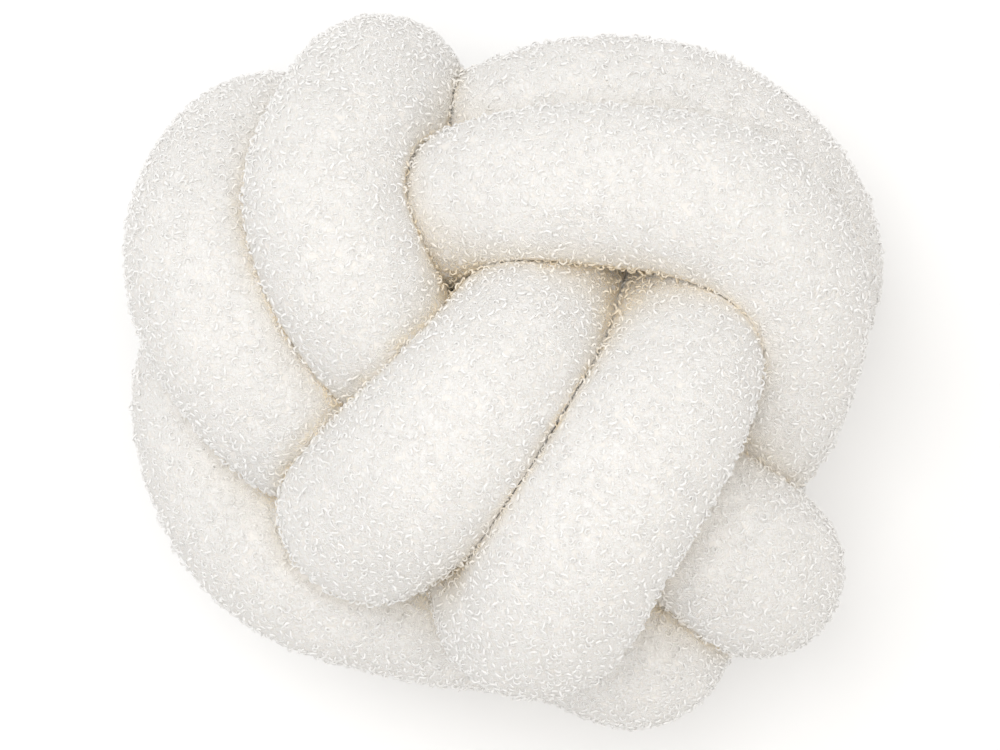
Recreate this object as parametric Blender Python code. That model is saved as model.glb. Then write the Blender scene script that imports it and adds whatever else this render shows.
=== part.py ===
"""Knot cushion: one stuffed cloth tube, closed at both ends and wound into a ball.

The cushion lies on its back. X runs to the right of its face, Y up its face and Z up from the
surface it lies on. The origin is at the middle of its underside.
"""
import math

import bmesh
import bpy
import numpy as np
from mathutils.bvhtree import BVHTree

MM = 0.001

# Driving dimensions, in millimetres. The route below is in millimetres from the ball's middle.
REST_DROP = 133.0        # the surface it lies on, below the ball's middle
PRESS_GAP = 1.5          # left open between two passes that press on each other
PRESS_SHARPNESS = 10.0   # how sharply a round section turns into a pressed flat
SPLINE_STEPS = 24        # points of the spline between two rows of the route
AXIS_STEP = 4.0          # between neighbouring samples of the tube's axis
ROUNDING_PASSES = 12     # smoothings of the sampled axis
RING_STEP = 22.0         # between section rings where the tube runs straight
RING_TURN = 0.55         # radians of bend that take one ring more
SIDES = 18               # corners of a section ring
DOME_RINGS = 4           # rings that round off each closed end
TUBE_RADIUS = 32.0       # the stuffed tube's usual radius; the route gives it place by place
SAME_SECTION = TUBE_RADIUS / 2    # nearer along the tube, two places don't press on each other
SAME_BEND = 3 * TUBE_RADIUS       # nearer along the tube, they press without a gap
LEAST_REACH = 2.0        # the tube is never pressed thinner than this
LEAST_AHEAD = 1e-6       # stands for a direction that meets nothing
EASING = 0.95            # share of its reach that a corner keeps each time its faces cross others
EASING_PASSES = 80       # most times that this is done
EASING_GAP = 0.3         # least room that it leaves between two faces, on each side

# The tube's route, chosen by eye, end to end: one table for each turn around the ball, with a row
# for each place the axis passes. Columns: x, y, z of the axis and the tube's radius there.
DIAGONAL_UPPER_TURN = (
    (-48, -51, 66, 36), (-29, -36, 88, 37), (-12, -16, 95, 35), (5, 7, 83, 32), (17, 27, 48, 31),
    (25, 52, 6, 31), (31, 73, -28, 32), (26, 95, -59, 32), (4, 91, -91, 34), (-27, 58, -107, 34),
    (-41, 12, -104, 34), (-39, -26, -78, 33), (-21, -47, -32, 32),
)
DIAGONAL_LOWER_TURN = (
    (3, -65, 18, 32), (9, -89, 49, 35), (19, -85, 75, 35), (26, -67, 90, 36), (45, -38, 95, 35),
    (62, -12, 86, 32), (71, 12, 58, 31), (75, 34, 22, 31), (75, 53, -10, 32), (81, 70, -43, 33),
    (73, 75, -77, 33), (46, 62, -104, 34), (20, 20, -108, 34), (32, -13, -90, 33),
)
TOP_OUTER_TURN = (
    (65, -6, -60, 32), (98, 6, -41, 32), (115, 25, -27, 33), (118, 47, -14, 33), (106, 72, 0, 32),
    (77, 92, 14, 33), (41, 98, 22, 33), (7, 93, 18, 32), (-22, 73, -2, 30), (-48, 39, -20, 29),
    (-76, 2, -37, 31), (-83, -33, -51, 32), (-68, -68, -65, 33), (-25, -84, -81, 34),
    (20, -75, -76, 33), (56, -51, -49, 32),
)
TOP_INNER_TURN = (
    (88, -32, -22, 31), (102, -13, 10, 31), (108, 3, 30, 30), (110, 20, 43, 31), (108, 37, 56, 31),
    (98, 53, 66, 31), (76, 66, 75, 31), (45, 71, 80, 30), (17, 71, 76, 30), (-8, 66, 61, 30),
    (-42, 53, 32, 29), (-77, 30, 12, 29),
)
LOWER_RIM_TURN = (
    (-108, 12, 3, 31), (-113, -14, 3, 32), (-104, -45, 5, 32), (-87, -67, 7, 33), (-61, -80, 8, 33),
    (-38, -86, 2, 33), (-14, -92, -12, 32), (11, -96, -18, 31), (34, -100, 2, 32),
    (51, -107, 0, 33), (58, -104, -26, 33), (65, -86, -70, 33), (54, -58, -105, 33),
    (18, -25, -81, 32), (-25, 18, -60, 32), (-55, 54, -60, 32), (-78, 78, -45, 33),
)
LEFT_OUTER_TURN = (
    (-92, 87, -14, 33), (-107, 72, 16, 32), (-113, 52, 39, 32), (-111, 32, 50, 32),
    (-102, 13, 54, 32), (-89, -5, 51, 32), (-69, -21, 40, 32), (-38, -34, 18, 30),
    (7, -16, 14, 30), (52, -40, 30, 31), (83, -63, 32, 33), (98, -75, 17, 34), (101, -78, -18, 33),
    (95, -71, -60, 33), (81, -22, -105, 34), (40, 40, -64, 32), (0, 57, -56, 32),
    (-28, 86, -43, 32),
)
LEFT_INNER_TURN = (
    (-45, 105, -20, 33), (-49, 104, 16, 35), (-60, 88, 49, 32), (-67, 71, 67, 31),
    (-66, 56, 75, 31), (-60, 41, 77, 31), (-52, 24, 72, 31), (-40, 5, 54, 31),
)
ROUTE = (DIAGONAL_UPPER_TURN + DIAGONAL_LOWER_TURN + TOP_OUTER_TURN + TOP_INNER_TURN
         + LOWER_RIM_TURN + LEFT_OUTER_TURN + LEFT_INNER_TURN)

CLOTH_COLOUR = (0.83, 0.80, 0.75, 1.0)
CLOTH_ROUGHNESS = 0.95


def spline_stretch(before, start, end, after):
    """Points of a centripetal spline from start up to, but not at, end."""
    gap_before = math.sqrt(np.linalg.norm(start[:3] - before[:3])) or 1.0
    gap = math.sqrt(np.linalg.norm(end[:3] - start[:3]))
    gap_after = math.sqrt(np.linalg.norm(after[:3] - end[:3])) or 1.0
    leave = (start - before) / gap_before - (end - before) / (gap_before + gap)
    arrive = (after - end) / gap_after - (after - start) / (gap + gap_after)
    leave = end - start + gap * leave
    arrive = end - start + gap * arrive
    t = (np.arange(SPLINE_STEPS) / SPLINE_STEPS)[:, None]
    return ((2 * t**3 - 3 * t**2 + 1) * start + (t**3 - 2 * t**2 + t) * leave
            + (3 * t**2 - 2 * t**3) * end + (t**3 - t**2) * arrive)


def distances_along(points):
    """Length of the line of points up to each of them."""
    steps = np.linalg.norm(np.diff(points[:, :3], axis=0), axis=1)
    return np.concatenate(([0.0], np.cumsum(steps)))


def read_at(points, measure, places):
    """Values of points, each column in turn, where measure reaches each of the places."""
    return np.stack([np.interp(places, measure, column) for column in points.T], axis=1)


def tube_axis():
    """Even samples of the axis, end to end: x, y, z, radius and length up to there."""
    rows = np.array(ROUTE, dtype=float)
    last = len(rows) - 1
    stretches = [
        spline_stretch(rows[max(i - 1, 0)], rows[i], rows[i + 1], rows[min(i + 2, last)])
        for i in range(last)
    ]
    line = np.vstack(stretches + [rows[-1:]])
    length = distances_along(line)
    count = int(length[-1] / AXIS_STEP) + 1
    axis = read_at(line, length, np.linspace(0.0, length[-1], count))
    for _ in range(ROUNDING_PASSES):
        axis[1:-1] = (axis[:-2] + 2 * axis[1:-1] + axis[2:]) / 4
    return np.column_stack((axis, distances_along(axis)))


def unit(vectors):
    return vectors / np.linalg.norm(vectors, axis=-1, keepdims=True)


def ring_places(axis):
    """Rings along the tube, closer together where it bends more."""
    headings = unit(np.diff(axis[:, :3], axis=0))
    turns = np.arccos(np.clip((headings[1:] * headings[:-1]).sum(axis=1), -1.0, 1.0))
    turns = np.concatenate(([0.0], turns, [0.0]))
    measure = axis[:, 4] / RING_STEP + np.cumsum(turns) / RING_TURN
    return read_at(axis, measure, np.linspace(0.0, measure[-1], int(measure[-1]) + 1))


def rounded_end(end, inner):
    """Rings of the half ball that closes the tube past its end, outermost last."""
    outward = unit(end[:3] - inner[:3])
    angles = np.arange(1, DOME_RINGS + 1) / (DOME_RINGS + 1) * math.pi / 2
    rings = np.repeat(end[None], DOME_RINGS, axis=0)
    rise = end[3] * np.sin(angles)
    rings[:, :3] += outward * rise[:, None]
    rings[:, 3] = end[3] * np.cos(angles)
    rings[:, 4] += rise * (1 if end[4] > inner[4] else -1)
    return rings


def with_rounded_ends(line):
    """The line of rings with a half ball added at each end."""
    first = rounded_end(line[0], line[1])[::-1]
    last = rounded_end(line[-1], line[-2])
    return np.vstack((first, line, last))


def ring_directions(rings, axis):
    """Unit directions from the axis to each ring's corners, carried along without twist."""
    headings = unit(np.gradient(axis[:, :3], axis=0))
    headings = unit(read_at(headings, axis[:, 4], rings[:, 4]))
    side = unit(np.cross(headings[0], (0.0, 0.0, 1.0)))
    sides = []
    for heading in headings:
        side = unit(side - heading * side.dot(heading))
        sides.append(side)
    sides = np.array(sides)
    others = np.cross(headings, sides)
    angles = np.arange(SIDES) * 2 * math.pi / SIDES
    return (np.cos(angles)[None, :, None] * sides[:, None]
            + np.sin(angles)[None, :, None] * others[:, None])


def pressed_reach(ring, directions, axis):
    """How far the tube reaches from one ring of its axis before it meets itself or the rest.

    Where two passes press on each other, the cloth stops at the plane halfway between them.
    Within one bend the same rule keeps the inner side from folding through itself.
    """
    others = axis[np.abs(axis[:, 4] - ring[4]) > SAME_SECTION]
    offsets = others[:, :3] - ring[:3]
    spacing = np.linalg.norm(offsets, axis=1)
    other_pass = np.abs(others[:, 4] - ring[4]) > SAME_BEND
    unequal = np.where(other_pass, ring[3]**2 - others[:, 3]**2, 0.0)
    gap = np.where(other_pass, PRESS_GAP * spacing, 0.0)
    ahead = np.maximum(directions @ offsets.T, LEAST_AHEAD)
    meeting = ((spacing**2 + unequal - gap) / (2 * ahead)).min(axis=1)
    meeting = np.maximum(meeting, LEAST_REACH)
    reach = (ring[3]**-PRESS_SHARPNESS + meeting**-PRESS_SHARPNESS)**(-1 / PRESS_SHARPNESS)
    falling = np.maximum(-directions[:, 2], LEAST_AHEAD)
    return np.minimum(reach, (ring[2] + REST_DROP) / falling)


def crossing_corners(corners):
    """Which corners belong to faces that cross a face of another stretch of the tube."""
    number = np.arange(corners.shape[0] * SIDES).reshape(-1, SIDES)
    beside = np.roll(number, -1, axis=1)
    squares = np.stack((number[:-1], beside[:-1], beside[1:], number[1:]), axis=2).reshape(-1, 4)
    halves = ((0, 1, 2), (0, 2, 3), (0, 1, 3), (1, 2, 3))
    triangles = np.vstack([squares[:, half] for half in halves]).tolist()
    tree = BVHTree.FromPolygons(corners.reshape(-1, 3).tolist(), triangles, all_triangles=True)
    crossing = np.zeros(number.size, dtype=bool)
    for one, other in tree.overlap(tree):
        if not set(triangles[one]) & set(triangles[other]):
            crossing[triangles[one]] = True
    return crossing.reshape(number.shape)


def eased_reach(rings, directions, reach):
    """The reach, drawn in little by little where faces of two passes would still cross."""
    for _ in range(EASING_PASSES):
        spokes = directions * (reach + EASING_GAP)[..., None]
        crossing = crossing_corners(rings[:, None, :3] + spokes)
        if not crossing.any():
            break
        reach = np.where(crossing, reach * EASING, reach)
    return reach


def section_rings():
    """Corners of every section ring in millimetres, ring by ring."""
    middle_line = tube_axis()
    axis = with_rounded_ends(middle_line)
    rings = with_rounded_ends(ring_places(middle_line))
    directions = ring_directions(rings, axis)
    reach = np.array([pressed_reach(*pair, axis) for pair in zip(rings, directions)])
    reach = eased_reach(rings, directions, reach)
    return rings[:, None, :3] + directions * reach[..., None]


def centred(corners):
    """The rings moved so that their box stands on the origin, in metres."""
    low = corners.min(axis=(0, 1))
    high = corners.max(axis=(0, 1))
    middle = (low + high) / 2
    return (corners - (middle[0], middle[1], -REST_DROP)) * MM


def rim_edges(bm, rim):
    """Edges of a closed ring of vertices, in order."""
    return [bm.edges.get((rim[i - 1], rim[i])) for i in range(len(rim))]


def extruded_rim(bm, rim):
    """The ring that an extrusion of the rim makes, in the rim's order."""
    made = bmesh.ops.extrude_edge_only(bm, edges=rim_edges(bm, rim))["geom"]
    fresh = {item for item in made if isinstance(item, bmesh.types.BMVert)}
    joined = [[edge.other_vert(corner) for edge in corner.link_edges] for corner in rim]
    return [next(vertex for vertex in around if vertex in fresh) for around in joined]


def place(ring, corners):
    """Moves the ring's vertices to the corners, one each."""
    for vertex, corner in zip(ring, corners):
        vertex.co = corner


def tube_mesh(corners):
    """A closed tube: one circle, extruded from ring to ring and drawn together at both ends."""
    bm = bmesh.new()
    start = bmesh.ops.create_circle(bm, segments=SIDES, radius=TUBE_RADIUS * MM)["verts"]
    place(start, corners[0])
    ring = start
    for target in corners[1:]:
        ring = extruded_rim(bm, ring)
        place(ring, target)
    for rim, outline in ((start, corners[0]), (ring, corners[-1])):
        tip = extruded_rim(bm, rim)
        bmesh.ops.pointmerge(bm, verts=tip, merge_co=outline.mean(axis=0))
    bmesh.ops.recalc_face_normals(bm, faces=bm.faces)
    mesh = bpy.data.meshes.new("stuffed_tube")
    bm.to_mesh(mesh)
    bm.free()
    mesh.shade_smooth()
    return mesh


def cloth_material():
    material = bpy.data.materials.new("looped_cloth")
    material.use_nodes = True
    shader = material.node_tree.nodes["Principled BSDF"]
    shader.inputs["Base Color"].default_value = CLOTH_COLOUR
    shader.inputs["Roughness"].default_value = CLOTH_ROUGHNESS
    shader.inputs["Metallic"].default_value = 0.0
    return material


def main():
    for thing in list(bpy.data.objects):
        bpy.data.objects.remove(thing)
    mesh = tube_mesh(centred(section_rings()))
    mesh.materials.append(cloth_material())
    tube = bpy.data.objects.new("stuffed_tube", mesh)
    bpy.context.scene.collection.objects.link(tube)


main()
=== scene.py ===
"""Looks of the knot cushion: its stuffed tube of cloth, the curls of its pile, and the studio.

The cushion lies on its back. X runs to the right of its face, Y up its face and Z up from the
floor. The camera looks straight down at its face.
"""

import math

import bmesh
import bpy
import numpy as np
from mathutils import Matrix, Vector, noise
from mathutils.bvhtree import BVHTree


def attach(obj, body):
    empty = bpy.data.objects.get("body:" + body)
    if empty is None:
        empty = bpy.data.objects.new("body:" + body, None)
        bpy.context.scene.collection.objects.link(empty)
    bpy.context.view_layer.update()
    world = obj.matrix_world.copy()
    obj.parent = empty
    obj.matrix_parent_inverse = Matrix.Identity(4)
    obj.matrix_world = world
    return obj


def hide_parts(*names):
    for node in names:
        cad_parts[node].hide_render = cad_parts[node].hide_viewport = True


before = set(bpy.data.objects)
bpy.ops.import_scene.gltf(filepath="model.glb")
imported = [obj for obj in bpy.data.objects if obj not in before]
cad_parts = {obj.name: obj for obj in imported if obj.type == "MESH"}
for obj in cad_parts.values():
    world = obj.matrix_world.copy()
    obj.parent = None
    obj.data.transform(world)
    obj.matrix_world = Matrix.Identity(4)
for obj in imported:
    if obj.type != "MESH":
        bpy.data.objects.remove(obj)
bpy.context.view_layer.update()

MM = 0.001

# The ball, in millimetres. Its middle is the route's origin.
BALL_MIDDLE = (-2.578, -0.490, 133.0)
REST_DROP = 133.0        # the floor, below the ball's middle

# The tube of cloth, in millimetres
PLUMPNESS = 0.8          # how far the free cloth stands outside the tube's usual radius
PRESSED_INSET = 0.03     # how far it stays back where two passes press the pile flat
PRESSED_FROM = 0.80      # share of its free reach at which the pile is pressed flat
FLOOR_PILE = 0.6         # thickness of the pile that is pressed flat on the floor
PRESS_GAP = 0.05         # between the pile of two passes that press on each other
PRESS_SHARPNESS = 150.0  # how sharply a round section turns into a pressed flat
EASING_STEP = 0.05       # first step by which a corner is drawn in where faces cross
EASING_PASSES = 30       # most times that this is done, each with a step more than the last
SPLINE_STEPS = 24        # points of the spline between two rows of the route
AXIS_STEP = 4.0          # between neighbouring samples of the tube's axis
ROUNDING_PASSES = 12     # smoothings of the sampled axis
RING_STEP = 8.0          # between section rings where the tube runs straight
RING_TURN = 0.2          # radians of bend that take one ring more
SIDES = 54               # corners of a section ring
DOME_RINGS = 10          # rings that round off each closed end
TUBE_RADIUS = 32.0       # the stuffed tube's usual radius
SAME_SECTION = TUBE_RADIUS / 2    # nearer along the tube, two places don't press on each other
SAME_BEND = 3 * TUBE_RADIUS       # nearer along the tube, they press without a gap
LEAST_REACH = 2.0        # the tube is never pressed thinner than this
LEAST_SHARE = 0.3        # of its reach that a corner keeps when it is set back
LEAST_AHEAD = 1e-6       # stands for a direction that meets nothing
LUMP_SIZE = 38.0         # between neighbouring soft lumps of the stuffing
LUMP_HEIGHT = 0.9        # how far they stand out
LUMP_MIX = ((0.7, 1.0), (0.3, 2.3))    # share of the height, and how much finer its lumps are

# The pile, in millimetres
CURL_SPACING = 2.95      # least distance between the roots of two curls
CURL_TRIES = 220000      # places tried for a curl
CURL_PIECES = 5          # the pile is split along the tube into so many pieces
YARN_RADIUS = 0.42       # of the yarn that a curl is made of
YARN_SIDES = 3
SIZE_RANGE = (0.75, 1.22)    # of a curl, as a share of its kind's size
CURL_LIFT = 0.45         # of an upright curl's middle above the cloth
LEAN_SINK = 0.30         # how much lower the middle of a curl that lies flat is
LEAN_RANGE = (5.0, 85.0)    # of a curl's axis from the cloth's normal, in degrees
TOP_SWING = 50.0         # of a curl's top to either side, in degrees
CLUMP_SIZE = 6.0         # between neighbouring nubs of the pile
CLUMP_HEIGHT = 0.9       # how far they stand out
FLOOR_CLEARANCE = 0.05   # of the lowest curls
SKY_RAYS = 20            # directions tried from a place to see how open it lies
SKY_REACH = 60.0         # what stands nearer than this hides a place
SKY_START = 1.0          # height above the cloth at which they leave
SKY_SPREAD = 0.95        # how far they spread from the cloth's normal
LEAST_SKY = 0.03         # share of the sky that a curl, or one beside it, has to see
LEAST_LENGTH = 1e-12     # keeps the normal of a corner without area from a division by zero
SEED = 11

# One row for each kind of curl: radius of its bow, turn in degrees, rise from end to end, steps
CURL_KINDS = (
    (1.00, 285.0, 0.5, 5),
    (1.20, 240.0, 0.5, 4),
    (0.80, 310.0, 0.7, 5),
    (1.35, 215.0, 0.4, 4),
)

# The tube's route, end to end: one table for each turn around the ball, with a row for each place
# the axis passes. Columns: x, y, z of the axis and the tube's radius there.
DIAGONAL_UPPER_TURN = (
    (-48, -51, 66, 36), (-29, -36, 88, 37), (-12, -16, 95, 35), (5, 7, 83, 32), (17, 27, 48, 31),
    (25, 52, 6, 31), (31, 73, -28, 32), (26, 95, -59, 32), (4, 91, -91, 34), (-27, 58, -107, 34),
    (-41, 12, -104, 34), (-39, -26, -78, 33), (-21, -47, -32, 32),
)
DIAGONAL_LOWER_TURN = (
    (3, -65, 18, 32), (9, -89, 49, 35), (19, -85, 75, 35), (26, -67, 90, 36), (45, -38, 95, 35),
    (62, -12, 86, 32), (71, 12, 58, 31), (75, 34, 22, 31), (75, 53, -10, 32), (81, 70, -43, 33),
    (73, 75, -77, 33), (46, 62, -104, 34), (20, 20, -108, 34), (32, -13, -90, 33),
)
TOP_OUTER_TURN = (
    (65, -6, -60, 32), (98, 6, -41, 32), (115, 25, -27, 33), (118, 47, -14, 33), (106, 72, 0, 32),
    (77, 92, 14, 33), (41, 98, 22, 33), (7, 93, 18, 32), (-22, 73, -2, 30), (-48, 39, -20, 29),
    (-76, 2, -37, 31), (-83, -33, -51, 32), (-68, -68, -65, 33), (-25, -84, -81, 34),
    (20, -75, -76, 33), (56, -51, -49, 32),
)
TOP_INNER_TURN = (
    (88, -32, -22, 31), (102, -13, 10, 31), (108, 3, 30, 30), (110, 20, 43, 31), (108, 37, 56, 31),
    (98, 53, 66, 31), (76, 66, 75, 31), (45, 71, 80, 30), (17, 71, 76, 30), (-8, 66, 61, 30),
    (-42, 53, 32, 29), (-77, 30, 12, 29),
)
LOWER_RIM_TURN = (
    (-108, 12, 3, 31), (-113, -14, 3, 32), (-104, -45, 5, 32), (-87, -67, 7, 33), (-61, -80, 8, 33),
    (-38, -86, 2, 33), (-14, -92, -12, 32), (11, -96, -18, 31), (34, -100, 2, 32),
    (51, -107, 0, 33), (58, -104, -26, 33), (65, -86, -70, 33), (54, -58, -105, 33),
    (18, -25, -81, 32), (-25, 18, -60, 32), (-55, 54, -60, 32), (-78, 78, -45, 33),
)
LEFT_OUTER_TURN = (
    (-92, 87, -14, 33), (-107, 72, 16, 32), (-113, 52, 39, 32), (-111, 32, 50, 32),
    (-102, 13, 54, 32), (-89, -5, 51, 32), (-69, -21, 40, 32), (-38, -34, 18, 30),
    (7, -16, 14, 30), (52, -40, 30, 31), (83, -63, 32, 33), (98, -75, 17, 34), (101, -78, -18, 33),
    (95, -71, -60, 33), (81, -22, -105, 34), (40, 40, -64, 32), (0, 57, -56, 32),
    (-28, 86, -43, 32),
)
LEFT_INNER_TURN = (
    (-45, 105, -20, 33), (-49, 104, 16, 35), (-60, 88, 49, 32), (-67, 71, 67, 31),
    (-66, 56, 75, 31), (-60, 41, 77, 31), (-52, 24, 72, 31), (-40, 5, 54, 31),
)
ROUTE = (DIAGONAL_UPPER_TURN + DIAGONAL_LOWER_TURN + TOP_OUTER_TURN + TOP_INNER_TURN
         + LOWER_RIM_TURN + LEFT_OUTER_TURN + LEFT_INNER_TURN)


# ---- the tube of cloth ----

def spline_stretch(before, start, end, after):
    """Points of a centripetal spline from start up to, but not at, end."""
    gap_before = math.sqrt(np.linalg.norm(start[:3] - before[:3])) or 1.0
    gap = math.sqrt(np.linalg.norm(end[:3] - start[:3]))
    gap_after = math.sqrt(np.linalg.norm(after[:3] - end[:3])) or 1.0
    leave = (start - before) / gap_before - (end - before) / (gap_before + gap)
    arrive = (after - end) / gap_after - (after - start) / (gap + gap_after)
    leave = end - start + gap * leave
    arrive = end - start + gap * arrive
    t = (np.arange(SPLINE_STEPS) / SPLINE_STEPS)[:, None]
    return ((2 * t**3 - 3 * t**2 + 1) * start + (t**3 - 2 * t**2 + t) * leave
            + (3 * t**2 - 2 * t**3) * end + (t**3 - t**2) * arrive)


def distances_along(points):
    """Length of the line of points up to each of them."""
    steps = np.linalg.norm(np.diff(points[:, :3], axis=0), axis=1)
    return np.concatenate(([0.0], np.cumsum(steps)))


def read_at(points, measure, places):
    """Values of points, each column in turn, where measure reaches each of the places."""
    return np.stack([np.interp(places, measure, column) for column in points.T], axis=1)


def tube_axis():
    """Even samples of the axis, end to end: x, y, z, radius and length up to there."""
    rows = np.array(ROUTE, dtype=float)
    last = len(rows) - 1
    stretches = [
        spline_stretch(rows[max(i - 1, 0)], rows[i], rows[i + 1], rows[min(i + 2, last)])
        for i in range(last)
    ]
    line = np.vstack(stretches + [rows[-1:]])
    length = distances_along(line)
    count = int(length[-1] / AXIS_STEP) + 1
    axis = read_at(line, length, np.linspace(0.0, length[-1], count))
    for _ in range(ROUNDING_PASSES):
        axis[1:-1] = (axis[:-2] + 2 * axis[1:-1] + axis[2:]) / 4
    return np.column_stack((axis, distances_along(axis)))


def unit(vectors):
    """The vectors, each brought to length 1."""
    return vectors / np.linalg.norm(vectors, axis=-1, keepdims=True)


def ring_places(axis):
    """Rings along the tube, closer together where it bends more."""
    headings = unit(np.diff(axis[:, :3], axis=0))
    turns = np.arccos(np.clip((headings[1:] * headings[:-1]).sum(axis=1), -1.0, 1.0))
    turns = np.concatenate(([0.0], turns, [0.0]))
    measure = axis[:, 4] / RING_STEP + np.cumsum(turns) / RING_TURN
    return read_at(axis, measure, np.linspace(0.0, measure[-1], int(measure[-1]) + 1))


def rounded_end(end, inner):
    """Rings of the half ball that closes the tube past its end, outermost last."""
    outward = unit(end[:3] - inner[:3])
    angles = np.arange(1, DOME_RINGS + 1) / (DOME_RINGS + 1) * math.pi / 2
    rings = np.repeat(end[None], DOME_RINGS, axis=0)
    rise = end[3] * np.sin(angles)
    rings[:, :3] += outward * rise[:, None]
    rings[:, 3] = end[3] * np.cos(angles)
    rings[:, 4] += rise * (1 if end[4] > inner[4] else -1)
    return rings


def with_rounded_ends(line):
    """The line of rings with a half ball added at each end."""
    first = rounded_end(line[0], line[1])[::-1]
    last = rounded_end(line[-1], line[-2])
    return np.vstack((first, line, last))


def ring_directions(rings, axis):
    """Unit directions from the axis to each ring's corners, carried along without twist."""
    headings = unit(np.gradient(axis[:, :3], axis=0))
    headings = unit(read_at(headings, axis[:, 4], rings[:, 4]))
    side = unit(np.cross(headings[0], (0.0, 0.0, 1.0)))
    sides = []
    for heading in headings:
        side = unit(side - heading * side.dot(heading))
        sides.append(side)
    sides = np.array(sides)
    others = np.cross(headings, sides)
    angles = np.arange(SIDES) * 2 * math.pi / SIDES
    return (np.cos(angles)[None, :, None] * sides[:, None]
            + np.sin(angles)[None, :, None] * others[:, None])


def pressed_reach(ring, directions, axis):
    """How far the tube reaches from one ring of its axis before it meets itself or the rest."""
    others = axis[np.abs(axis[:, 4] - ring[4]) > SAME_SECTION]
    offsets = others[:, :3] - ring[:3]
    spacing = np.linalg.norm(offsets, axis=1)
    other_pass = np.abs(others[:, 4] - ring[4]) > SAME_BEND
    unequal = np.where(other_pass, ring[3]**2 - others[:, 3]**2, 0.0)
    gap = np.where(other_pass, PRESS_GAP * spacing, 0.0)
    ahead = np.maximum(directions @ offsets.T, LEAST_AHEAD)
    meeting = ((spacing**2 + unequal - gap) / (2 * ahead)).min(axis=1)
    meeting = np.maximum(meeting, LEAST_REACH)
    free = ring[3] + PLUMPNESS
    reach = free * (1 + (free / meeting)**PRESS_SHARPNESS)**(-1 / PRESS_SHARPNESS)
    falling = np.maximum(-directions[:, 2], LEAST_AHEAD)
    return np.minimum(reach, (ring[2] + REST_DROP - FLOOR_PILE) / falling)


def lump(point):
    """Height of the stuffing's soft lumps at a point, from -1 to 1."""
    place = Vector(point) / LUMP_SIZE
    return sum(share * noise.noise(place * finer) for share, finer in LUMP_MIX)


def crossing_corners(corners):
    """Which corners belong to faces that cross a face of another stretch of the tube."""
    number = np.arange(corners.shape[0] * SIDES).reshape(-1, SIDES)
    beside = np.roll(number, -1, axis=1)
    squares = np.stack((number[:-1], beside[:-1], beside[1:], number[1:]), axis=2).reshape(-1, 4)
    halves = ((0, 1, 2), (0, 2, 3), (0, 1, 3), (1, 2, 3))
    triangles = np.vstack([squares[:, half] for half in halves]).tolist()
    tree = BVHTree.FromPolygons(corners.reshape(-1, 3).tolist(), triangles, all_triangles=True)
    crossing = np.zeros(number.size, dtype=bool)
    for one, other in tree.overlap(tree):
        if not set(triangles[one]) & set(triangles[other]):
            crossing[triangles[one]] = True
    return crossing.reshape(number.shape)


def eased_reach(rings, directions, reach):
    """The reach, drawn in little by little where faces of two passes would cross."""
    for turn in range(EASING_PASSES):
        crossing = crossing_corners(rings[:, None, :3] + directions * reach[..., None])
        if not crossing.any():
            break
        reach = np.where(crossing, reach - EASING_STEP * (turn + 1), reach)
    return reach


def section_rings():
    """Corners of every section ring of the cloth's backing, in metres, ring by ring."""
    middle_line = tube_axis()
    axis = with_rounded_ends(middle_line)
    rings = with_rounded_ends(ring_places(middle_line))
    directions = ring_directions(rings, axis)
    reach = np.array([pressed_reach(*pair, axis) for pair in zip(rings, directions)])
    corners = rings[:, None, :3] + directions * reach[..., None]
    lumps = np.array([[lump(corner) for corner in ring] for ring in corners])
    share = reach / (rings[:, 3:4] + PLUMPNESS)
    free = np.clip((share - PRESSED_FROM) / (1 - PRESSED_FROM), 0.0, 1.0)
    free = free * free * (3 - 2 * free)
    inset = PRESSED_INSET * (1 - free) + LUMP_HEIGHT * (0.5 - lumps) * free
    reach = np.maximum(reach - inset, LEAST_SHARE * reach)
    reach = eased_reach(rings, directions, reach)
    corners = rings[:, None, :3] + directions * reach[..., None]
    return (corners + BALL_MIDDLE) * MM


def rim_edges(bm, rim):
    """Edges of a closed ring of vertices, in order."""
    return [bm.edges.get((rim[i - 1], rim[i])) for i in range(len(rim))]


def extruded_rim(bm, rim):
    """The ring that an extrusion of the rim makes, in the rim's order."""
    made = bmesh.ops.extrude_edge_only(bm, edges=rim_edges(bm, rim))["geom"]
    fresh = {item for item in made if isinstance(item, bmesh.types.BMVert)}
    joined = [[edge.other_vert(corner) for edge in corner.link_edges] for corner in rim]
    return [next(vertex for vertex in around if vertex in fresh) for around in joined]


def place_ring(ring, corners):
    """Moves the ring's vertices to the corners, one each."""
    for vertex, corner in zip(ring, corners):
        vertex.co = corner


def tube_shell(corners):
    """A closed tube and its rings: a circle, extruded ring by ring and drawn in at both ends."""
    bm = bmesh.new()
    bm.verts.layers.float.new("openness")
    start = bmesh.ops.create_circle(bm, segments=SIDES, radius=TUBE_RADIUS * MM)["verts"]
    place_ring(start, corners[0])
    rings = [start]
    for target in corners[1:]:
        rings.append(extruded_rim(bm, rings[-1]))
        place_ring(rings[-1], target)
    for rim, outline in ((rings[0], corners[0]), (rings[-1], corners[-1])):
        tip = extruded_rim(bm, rim)
        bmesh.ops.pointmerge(bm, verts=tip, merge_co=outline.mean(axis=0))
    bmesh.ops.recalc_face_normals(bm, faces=bm.faces)
    return bm, rings


def note_openness(bm, rings, sky):
    """Keeps on each corner of the cloth how much sky it sees."""
    openness = bm.verts.layers.float["openness"]
    for vertex in bm.verts:
        vertex[openness] = 1.0
    for ring, values in zip(rings, sky):
        for vertex, value in zip(ring, values):
            vertex[openness] = value


def piece_of(bm, name):
    """A named, smooth-shaded object of the bmesh, which is freed."""
    mesh = bpy.data.meshes.new(name)
    bm.to_mesh(mesh)
    bm.free()
    mesh.shade_smooth()
    piece = bpy.data.objects.new(name, mesh)
    bpy.context.scene.collection.objects.link(piece)
    return piece


# ---- the pile ----

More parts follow.
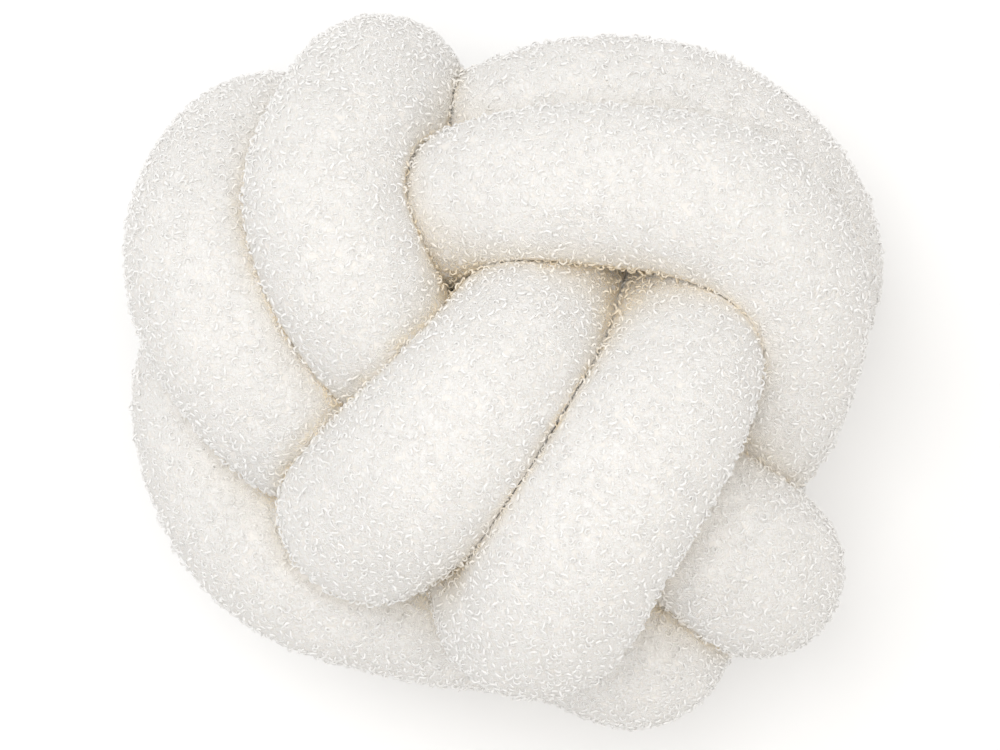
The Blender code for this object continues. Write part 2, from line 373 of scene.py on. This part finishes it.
def open_sky(corners, tree):
    """Share of the sky that each corner sees past the other passes, and its normal."""
    along = np.gradient(corners, axis=0)
    around = np.roll(corners, -1, axis=1) - np.roll(corners, 1, axis=1)
    normals = np.cross(around, along)
    normals = normals / np.maximum(np.linalg.norm(normals, axis=2, keepdims=True), LEAST_LENGTH)
    middles = corners.mean(axis=1, keepdims=True)
    inward = ((corners - middles) * normals).sum(axis=2, keepdims=True) < 0
    normals = np.where(inward, -normals, normals)
    rng = np.random.default_rng(SEED)
    rays = unit(rng.normal(size=(SKY_RAYS, 3)))
    sky = np.zeros(corners.shape[:2])
    for i, j in np.ndindex(sky.shape):
        normal = Vector(normals[i, j])
        start = Vector(corners[i, j]) + normal * (SKY_START * MM)
        seen = 0
        for ray in rays:
            heading = (normal + Vector(ray) * SKY_SPREAD).normalized()
            seen += tree.ray_cast(start, heading, SKY_REACH * MM)[0] is None
        sky[i, j] = seen / SKY_RAYS
    return sky, normals


def curl_roots(corners, sky, normals, rng):
    """Evenly scattered places on the open cloth: position, normal, openness and ring number."""
    beside = np.roll(corners, -1, axis=1)
    width = np.linalg.norm(beside - corners, axis=2)[:-1]
    length = np.linalg.norm(corners[1:] - corners[:-1], axis=2)
    widest = np.maximum(sky, np.maximum(np.roll(sky, 1, axis=1), np.roll(sky, -1, axis=1)))
    open_cloth = np.minimum(widest[:-1], widest[1:]) > LEAST_SKY
    area = (width * length * open_cloth).ravel()
    chosen = rng.choice(area.size, CURL_TRIES, p=area / area.sum())
    ring, side = np.divmod(chosen, SIDES)
    u, v = rng.random((2, CURL_TRIES, 1))
    after = (side + 1) % SIDES

    def blend(grid):
        near = grid[ring, side] * (1 - v) + grid[ring, after] * v
        far = grid[ring + 1, side] * (1 - v) + grid[ring + 1, after] * v
        return near * (1 - u) + far * u

    points = blend(corners)
    facing = unit(blend(normals))
    cell = CURL_SPACING * MM
    taken, kept = {}, []
    cells = np.floor(points / cell).astype(int)
    for number, (point, home) in enumerate(zip(points.tolist(), cells.tolist())):
        near = [
            other
            for x in (home[0] - 1, home[0], home[0] + 1)
            for y in (home[1] - 1, home[1], home[1] + 1)
            for z in (home[2] - 1, home[2], home[2] + 1)
            for other in taken.get((x, y, z), ())
        ]
        if all(math.dist(point, other) > cell for other in near):
            taken.setdefault(tuple(home), []).append(point)
            kept.append(number)
    return points[kept], facing[kept], blend(sky[..., None])[kept, 0], ring[kept]


def curl_form(bow, turn, rise, steps):
    """Vertices and triangles of a closed curl of yarn: its axis along Z, its top at +X."""
    bm = bmesh.new()
    section = bmesh.ops.create_circle(bm, segments=YARN_SIDES, radius=YARN_RADIUS)["verts"]
    bmesh.ops.rotate(bm, verts=section, cent=(0, 0, 0), matrix=Matrix.Rotation(math.pi / 2, 3, "X"))
    bmesh.ops.translate(bm, verts=section, vec=(bow, 0, 0))
    half_back = Matrix.Rotation(-math.radians(turn) / 2, 3, "Z")
    bmesh.ops.rotate(bm, verts=section, cent=(0, 0, 0), matrix=half_back)
    bmesh.ops.spin(
        bm, geom=section + bm.edges[:], cent=(0, 0, 0), axis=(0, 0, 1),
        dvec=(0, 0, rise / steps), angle=math.radians(turn), steps=steps,
        use_merge=False, use_duplicate=False,
    )
    bmesh.ops.holes_fill(bm, edges=bm.edges, sides=YARN_SIDES)
    bmesh.ops.translate(bm, verts=bm.verts, vec=(0, 0, -rise / 2))
    bmesh.ops.recalc_face_normals(bm, faces=bm.faces)
    bmesh.ops.triangulate(bm, faces=bm.faces)
    bm.verts.ensure_lookup_table()
    vertices = np.array([vertex.co[:] for vertex in bm.verts])
    triangles = np.array([[vertex.index for vertex in face.verts] for face in bm.faces])
    bm.free()
    return vertices, triangles


def curl_frames(normals, rng):
    """Axes of each curl. It leans by a random angle, and its open side faces the cloth."""
    count = len(normals)
    loose = unit(rng.normal(size=(count, 3)))
    tangent = unit(loose - normals * (loose * normals).sum(axis=1, keepdims=True))
    lean = np.radians(rng.uniform(*LEAN_RANGE, (count, 1)))
    axis = np.cos(lean) * normals + np.sin(lean) * tangent
    up = unit(normals - axis * (normals * axis).sum(axis=1, keepdims=True))
    beside = np.cross(axis, up)
    swing = np.radians(rng.uniform(-TOP_SWING, TOP_SWING, (count, 1)))
    first = np.cos(swing) * up + np.sin(swing) * beside
    second = np.cross(axis, first)
    return np.stack((first, second, axis), axis=1), lean


def pile_piece(name, points, normals, openness, forms, rng):
    """One piece of pile: a joined mesh of curls, one at each of the points."""
    frames, lean = curl_frames(normals, rng)
    kinds = rng.integers(len(forms), size=len(points))
    sizes = rng.uniform(*SIZE_RANGE, (len(points), 1, 1))
    clumps = np.array([noise.noise(Vector(point) / (CLUMP_SIZE * MM)) for point in points])
    lift = (CURL_LIFT - LEAN_SINK * np.sin(lean) + CLUMP_HEIGHT * clumps[:, None]) * MM
    vertices, triangles, seen, start = [], [], [], 0
    for kind, (shape, faces) in enumerate(forms):
        mine = kinds == kind
        curls = (shape[None] * sizes[mine] * MM) @ frames[mine]
        curls += (points[mine] + normals[mine] * lift[mine])[:, None]
        sunk = FLOOR_CLEARANCE * MM - curls[..., 2].min(axis=1, keepdims=True)
        curls[..., 2] += np.maximum(sunk, 0.0)
        vertices.append(curls.reshape(-1, 3))
        firsts = start + np.arange(mine.sum())[:, None, None] * len(shape)
        triangles.append((firsts + faces[None]).reshape(-1, 3))
        seen.append(np.repeat(openness[mine], len(shape)))
        start += mine.sum() * len(shape)
    vertices = np.vstack(vertices)
    triangles = np.vstack(triangles)
    mesh = bpy.data.meshes.new(name)
    mesh.from_pydata(vertices, [], triangles)
    open_to_sky = mesh.attributes.new("openness", "FLOAT", "POINT")
    open_to_sky.data.foreach_set("value", np.concatenate(seen))
    mesh.shade_smooth()
    piece = bpy.data.objects.new(name, mesh)
    bpy.context.scene.collection.objects.link(piece)
    return piece


# ---- finishes ----

SCATTER = 5.0            # how far light spreads through the cloth and its filling, in millimetres
CLOUD_MIX = 0.5          # share of the broad patches in the dye's pattern, and of the fine flecks
CLOUD_RANGE = (0.36, 0.62)    # of the pattern, from the deep dye to the light one
CREVICE_SHADE_RANGE = (0.0, 0.4)  # of openness, from the painted tan shade to the painted warm shade
SHADE_FADE_RANGE = (0.15, 0.85)    # of openness, from the painted warm shade to the open cloth's dye, where the painted shade ends
LOOP_SHARES = (1.0, 1.37)    # scales of the two layers of small loops
LOOP_RADIUS = 0.42       # of a loop's ridge, in its cell
LOOP_WIDTH = 0.22        # of the ridge to either side
LOOP_BUMP = (1.0, 0.9)   # strength, and height in millimetres
FIBRE_BUMP = (0.35, 0.4)
GROOVE_SHADE_COLOUR = (0.89, 0.85, 0.80, 1)    # painted shade in the grooves between the small loops
# Light and Deep are the dye's random tones; the two crevice colours are painted shade, used where
# the cloth sees little sky.
BACKING_DYE_AND_SHADE = {
    "Light": (0.95, 0.935, 0.915, 1), "Deep": (0.93, 0.91, 0.885, 1),
    "Crevice Shade Warm": (0.975, 0.895, 0.76, 1), "Crevice Shade Tan": (0.98, 0.81, 0.54, 1),
}
YARN_DYE_AND_SHADE = {
    "Light": (0.965, 0.955, 0.94, 1), "Deep": (0.95, 0.937, 0.918, 1),
    "Crevice Shade Warm": (0.975, 0.905, 0.79, 1), "Crevice Shade Tan": (0.98, 0.83, 0.59, 1),
}
MATT = {
    "Roughness": 0.85, "Specular IOR Level": 0.3, "Sheen Weight": 0.25, "Sheen Roughness": 0.5,
}


def new_group(name, inputs, outputs):
    """An empty node group with named sockets: (name, kind, usual value)."""
    group = bpy.data.node_groups.new(name, "ShaderNodeTree")
    for label, kind, value in inputs:
        socket = group.interface.new_socket(label, in_out="INPUT", socket_type=kind)
        socket.default_value = value
    for label, kind in outputs:
        group.interface.new_socket(label, in_out="OUTPUT", socket_type=kind)
    return group, group.nodes.new("NodeGroupInput"), group.nodes.new("NodeGroupOutput")


def dye_and_crevice_shade_group():
    """Slightly uneven dye, two colours mixed by soft noise, with painted shade: warm and tan
    colours where the cloth sees little sky, in the crevices.
    """
    group, given, made = new_group(
        "uneven_dye_and_crevice_shade",
        [("Light", "NodeSocketColor", (1, 1, 1, 1)), ("Deep", "NodeSocketColor", (1, 1, 1, 1)),
         ("Crevice Shade Warm", "NodeSocketColor", (1, 1, 1, 1)), ("Crevice Shade Tan", "NodeSocketColor", (1, 1, 1, 1)),
         ("Patch Scale", "NodeSocketFloat", 60.0),
         ("Fleck Scale", "NodeSocketFloat", 500.0)],
        [("Color", "NodeSocketColor")],
    )
    nodes, links = group.nodes, group.links
    place = nodes.new("ShaderNodeTexCoord")
    pattern = None
    for scale in ("Patch Scale", "Fleck Scale"):
        cloud = nodes.new("ShaderNodeTexNoise")
        cloud.inputs["Detail"].default_value = 2.0
        links.new(place.outputs["Object"], cloud.inputs["Vector"])
        links.new(given.outputs[scale], cloud.inputs["Scale"])
        part = nodes.new("ShaderNodeMath")
        part.operation = "MULTIPLY_ADD"
        part.inputs[1].default_value = CLOUD_MIX
        part.inputs[2].default_value = 0.0
        links.new(cloud.outputs["Fac"], part.inputs[0])
        if pattern:
            links.new(pattern, part.inputs[2])
        pattern = part.outputs[0]
    spread = nodes.new("ShaderNodeMapRange")
    spread.inputs["From Min"].default_value = CLOUD_RANGE[0]
    spread.inputs["From Max"].default_value = CLOUD_RANGE[1]
    links.new(pattern, spread.inputs["Value"])
    mix = nodes.new("ShaderNodeMix")
    mix.data_type = "RGBA"
    links.new(spread.outputs["Result"], mix.inputs["Factor"])
    links.new(given.outputs["Deep"], mix.inputs["A"])
    links.new(given.outputs["Light"], mix.inputs["B"])
    # Painted shade: the less sky a place sees, the nearer its colour goes to warm and then to tan.
    openness = nodes.new("ShaderNodeAttribute")
    openness.attribute_name = "openness"
    inner = given.outputs["Crevice Shade Tan"]
    layers = ((given.outputs["Crevice Shade Warm"], CREVICE_SHADE_RANGE), (mix.outputs["Result"], SHADE_FADE_RANGE))
    for outer, (deepest, open_from) in layers:
        outside = nodes.new("ShaderNodeMapRange")
        outside.interpolation_type = "SMOOTHSTEP"
        outside.inputs["From Min"].default_value = deepest
        outside.inputs["From Max"].default_value = open_from
        crevice_shade = nodes.new("ShaderNodeMix")
        crevice_shade.data_type = "RGBA"
        links.new(openness.outputs["Fac"], outside.inputs["Value"])
        links.new(outside.outputs["Result"], crevice_shade.inputs["Factor"])
        links.new(inner, crevice_shade.inputs["A"])
        links.new(outer, crevice_shade.inputs["B"])
        inner = crevice_shade.outputs["Result"]
    links.new(inner, made.inputs["Color"])
    return group


def fibre_group():
    """Height of fine fibres on yarn."""
    group, given, made = new_group(
        "fine_fibre", [("Scale", "NodeSocketFloat", 1100.0)], [("Height", "NodeSocketFloat")],
    )
    nodes, links = group.nodes, group.links
    place = nodes.new("ShaderNodeTexCoord")
    fibre = nodes.new("ShaderNodeTexNoise")
    fibre.inputs["Detail"].default_value = 3.0
    links.new(place.outputs["Object"], fibre.inputs["Vector"])
    links.new(given.outputs["Scale"], fibre.inputs["Scale"])
    links.new(fibre.outputs["Fac"], made.inputs["Height"])
    return group


def loop_group():
    """Ring-shaped ridges of small loops, kinked: their height, from 0 between them to 1."""
    group, given, made = new_group(
        "small_loops",
        [("Loop Scale", "NodeSocketFloat", 400.0), ("Kink", "NodeSocketFloat", 0.0012),
         ("Kink Scale", "NodeSocketFloat", 420.0)],
        [("Height", "NodeSocketFloat")],
    )
    nodes, links = group.nodes, group.links
    place = nodes.new("ShaderNodeTexCoord")
    kink = nodes.new("ShaderNodeTexNoise")
    centred = nodes.new("ShaderNodeVectorMath")
    centred.operation = "SUBTRACT"
    centred.inputs[1].default_value = (0.5, 0.5, 0.5)
    bent = nodes.new("ShaderNodeVectorMath")
    bent.operation = "MULTIPLY_ADD"
    links.new(place.outputs["Object"], kink.inputs["Vector"])
    links.new(given.outputs["Kink Scale"], kink.inputs["Scale"])
    links.new(kink.outputs["Color"], centred.inputs[0])
    links.new(centred.outputs[0], bent.inputs[0])
    links.new(given.outputs["Kink"], bent.inputs[1])
    links.new(place.outputs["Object"], bent.inputs[2])
    heights = []
    for share in LOOP_SHARES:
        cells = nodes.new("ShaderNodeTexVoronoi")
        scale = nodes.new("ShaderNodeMath")
        scale.operation = "MULTIPLY"
        scale.inputs[1].default_value = share
        away = nodes.new("ShaderNodeMath")
        away.operation = "SUBTRACT"
        away.inputs[1].default_value = LOOP_RADIUS
        size = nodes.new("ShaderNodeMath")
        size.operation = "ABSOLUTE"
        ramp = nodes.new("ShaderNodeMapRange")
        ramp.interpolation_type = "SMOOTHSTEP"
        ramp.inputs["From Max"].default_value = LOOP_WIDTH
        ramp.inputs["To Min"].default_value = 1.0
        ramp.inputs["To Max"].default_value = 0.0
        links.new(given.outputs["Loop Scale"], scale.inputs[0])
        links.new(scale.outputs[0], cells.inputs["Scale"])
        links.new(bent.outputs[0], cells.inputs["Vector"])
        links.new(cells.outputs["Distance"], away.inputs[0])
        links.new(away.outputs[0], size.inputs[0])
        links.new(size.outputs[0], ramp.inputs["Value"])
        heights.append(ramp.outputs["Result"])
    highest = nodes.new("ShaderNodeMath")
    highest.operation = "MAXIMUM"
    for height, socket in zip(heights, highest.inputs):
        links.new(height, socket)
    links.new(highest.outputs[0], made.inputs["Height"])
    return group


def matt_cloth(name):
    """A matt, slightly downy material, with its nodes, links and shader."""
    material = bpy.data.materials.new(name)
    material.use_nodes = True
    nodes, links = material.node_tree.nodes, material.node_tree.links
    shader = nodes["Principled BSDF"]
    for label, value in MATT.items():
        shader.inputs[label].default_value = value
    return material, nodes, links, shader


def placed_group(nodes, group, values):
    """A node that uses the group, with values on its named inputs."""
    node = nodes.new("ShaderNodeGroup")
    node.node_tree = group
    for label, value in values.items():
        node.inputs[label].default_value = value
    return node


def bumped(nodes, links, shader, height, strength, distance):
    """Gives the shader a bump from the height. The distance is in millimetres."""
    bump = nodes.new("ShaderNodeBump")
    bump.inputs["Strength"].default_value = strength
    bump.inputs["Distance"].default_value = distance * MM
    links.new(height, bump.inputs["Height"])
    links.new(bump.outputs["Normal"], shader.inputs["Normal"])


def backing_finish(dye_and_shade, loops):
    """The cloth under its pile: small bumped loops, with painted shade in the grooves between them.
    """
    material, nodes, links, shader = matt_cloth("cloth_backing")
    # Its colour carries painted shade, warm to tan in the crevices where the cloth sees little sky.
    colour = placed_group(nodes, dye_and_shade, BACKING_DYE_AND_SHADE)
    relief = placed_group(nodes, loops, {})
    # Painted shade: the colour goes to the groove shade where the loops' bump is lowest.
    shade = nodes.new("ShaderNodeMix")
    shade.data_type = "RGBA"
    shade.inputs["A"].default_value = GROOVE_SHADE_COLOUR
    links.new(relief.outputs["Height"], shade.inputs["Factor"])
    links.new(colour.outputs["Color"], shade.inputs["B"])
    links.new(shade.outputs["Result"], shader.inputs["Base Color"])
    bumped(nodes, links, shader, relief.outputs["Height"], *LOOP_BUMP)
    shader.subsurface_method = "BURLEY"
    shader.inputs["Subsurface Weight"].default_value = 1.0
    shader.inputs["Subsurface Radius"].default_value = (1.0, 1.0, 1.0)
    shader.inputs["Subsurface Scale"].default_value = SCATTER * MM
    return material


def curl_finish(dye_and_shade, fibre):
    """Cream-white curly yarn."""
    material, nodes, links, shader = matt_cloth("curly_yarn")
    # Its colour carries painted shade, warm to tan where a curl sees little sky.
    colour = placed_group(nodes, dye_and_shade, YARN_DYE_AND_SHADE)
    relief = placed_group(nodes, fibre, {})
    links.new(colour.outputs["Color"], shader.inputs["Base Color"])
    bumped(nodes, links, shader, relief.outputs["Height"], *FIBRE_BUMP)
    return material


# ---- the studio ----

CAMERA_HEIGHT = 2000.0   # above the ball's middle
FRAME_WIDTH = 393.7      # of the picture, at the height of the ball's middle
PICTURE_MIDDLE = (-0.394, -0.394)    # of the picture, from the ball's middle
SENSOR = 36.0            # the camera's width, in millimetres
PRINT_GAMMA = 1.25       # the photograph's bright, gentle tones
FLOOR_HALF = 6.0         # half the floor's side, in metres
FLOOR_COLOUR = (0.96, 0.96, 0.96, 1)
AIR_COLOUR = (1.0, 0.985, 0.96, 1)
AIR_STRENGTH = 0.70

# Name, place and side in metres, power in watts and colour of each soft box
SOFT_BOXES = (
    ("key_light", (-1.1, 1.0, 2.2), 1.3, 11.0, (0.97, 0.985, 1.0)),
    ("front_light", (-0.2, 0.2, 2.6), 1.0, 24.0, (1.0, 1.0, 1.0)),
    ("fill_light", (1.3, -0.9, 1.5), 1.6, 5.5, (1.0, 0.93, 0.84)),
)


def floor_material():
    """A plain, pale, matt floor."""
    material = bpy.data.materials.new("pale_floor")
    material.use_nodes = True
    shader = material.node_tree.nodes["Principled BSDF"]
    shader.inputs["Base Color"].default_value = FLOOR_COLOUR
    shader.inputs["Roughness"].default_value = 1.0
    shader.inputs["Specular IOR Level"].default_value = 0.0
    return material


def pale_floor():
    """The floor that the cushion lies on."""
    bm = bmesh.new()
    bmesh.ops.create_grid(bm, x_segments=1, y_segments=1, size=FLOOR_HALF)
    floor = piece_of(bm, "floor")
    floor.data.materials.append(floor_material())


def soft_light(name, place, size, power, colour):
    """A square soft box that faces the ball."""
    data = bpy.data.lights.new(name, "AREA")
    data.size = size
    data.energy = power
    data.color = colour
    light = bpy.data.objects.new(name, data)
    light.location = place
    aim = Vector((0, 0, REST_DROP * MM)) - light.location
    light.rotation_euler = aim.to_track_quat("-Z", "Y").to_euler()
    bpy.context.scene.collection.objects.link(light)


def studio():
    """Print tones, pale air, the floor and three soft boxes."""
    scene = bpy.context.scene
    scene.view_settings.view_transform = "Standard"
    scene.view_settings.gamma = PRINT_GAMMA
    world = bpy.data.worlds.new("studio_air")
    world.use_nodes = True
    air = world.node_tree.nodes["Background"]
    air.inputs["Color"].default_value = AIR_COLOUR
    air.inputs["Strength"].default_value = AIR_STRENGTH
    scene.world = world
    pale_floor()
    for soft_box in SOFT_BOXES:
        soft_light(*soft_box)


def camera():
    """The camera, straight above the cushion's face."""
    data = bpy.data.cameras.new("camera")
    data.sensor_width = SENSOR
    data.lens = SENSOR * CAMERA_HEIGHT / FRAME_WIDTH
    view = bpy.data.objects.new("camera", data)
    view.location = (
        (BALL_MIDDLE[0] + PICTURE_MIDDLE[0]) * MM,
        (BALL_MIDDLE[1] + PICTURE_MIDDLE[1]) * MM,
        (BALL_MIDDLE[2] + CAMERA_HEIGHT) * MM,
    )
    bpy.context.scene.collection.objects.link(view)
    bpy.context.scene.camera = view


def dress_cushion():
    """The cushion's pieces: the tube of cloth and the pile that stands on it."""
    corners = section_rings()
    shell, rings = tube_shell(corners)
    sky, normals = open_sky(corners, BVHTree.FromBMesh(shell))
    note_openness(shell, rings, sky)
    cloth = piece_of(shell, "tube_cloth")
    rng = np.random.default_rng(SEED)
    points, facing, openness, ring = curl_roots(corners, sky, normals, rng)
    forms = [curl_form(*kind) for kind in CURL_KINDS]
    # The dye group also paints shade into the crevices, by how much sky each place sees.
    dye_and_shade = dye_and_crevice_shade_group()
    curls = curl_finish(dye_and_shade, fibre_group())
    cloth.data.materials.append(backing_finish(dye_and_shade, loop_group()))
    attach(cloth, "root")
    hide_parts("stuffed_tube")
    order = np.argsort(ring, kind="stable")
    for number, share in enumerate(np.array_split(order, CURL_PIECES), start=1):
        name = f"pile_{number}"
        pile = pile_piece(name, points[share], facing[share], openness[share], forms, rng)
        pile.data.materials.append(curls)
        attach(pile, "root")


dress_cushion()
studio()
camera()
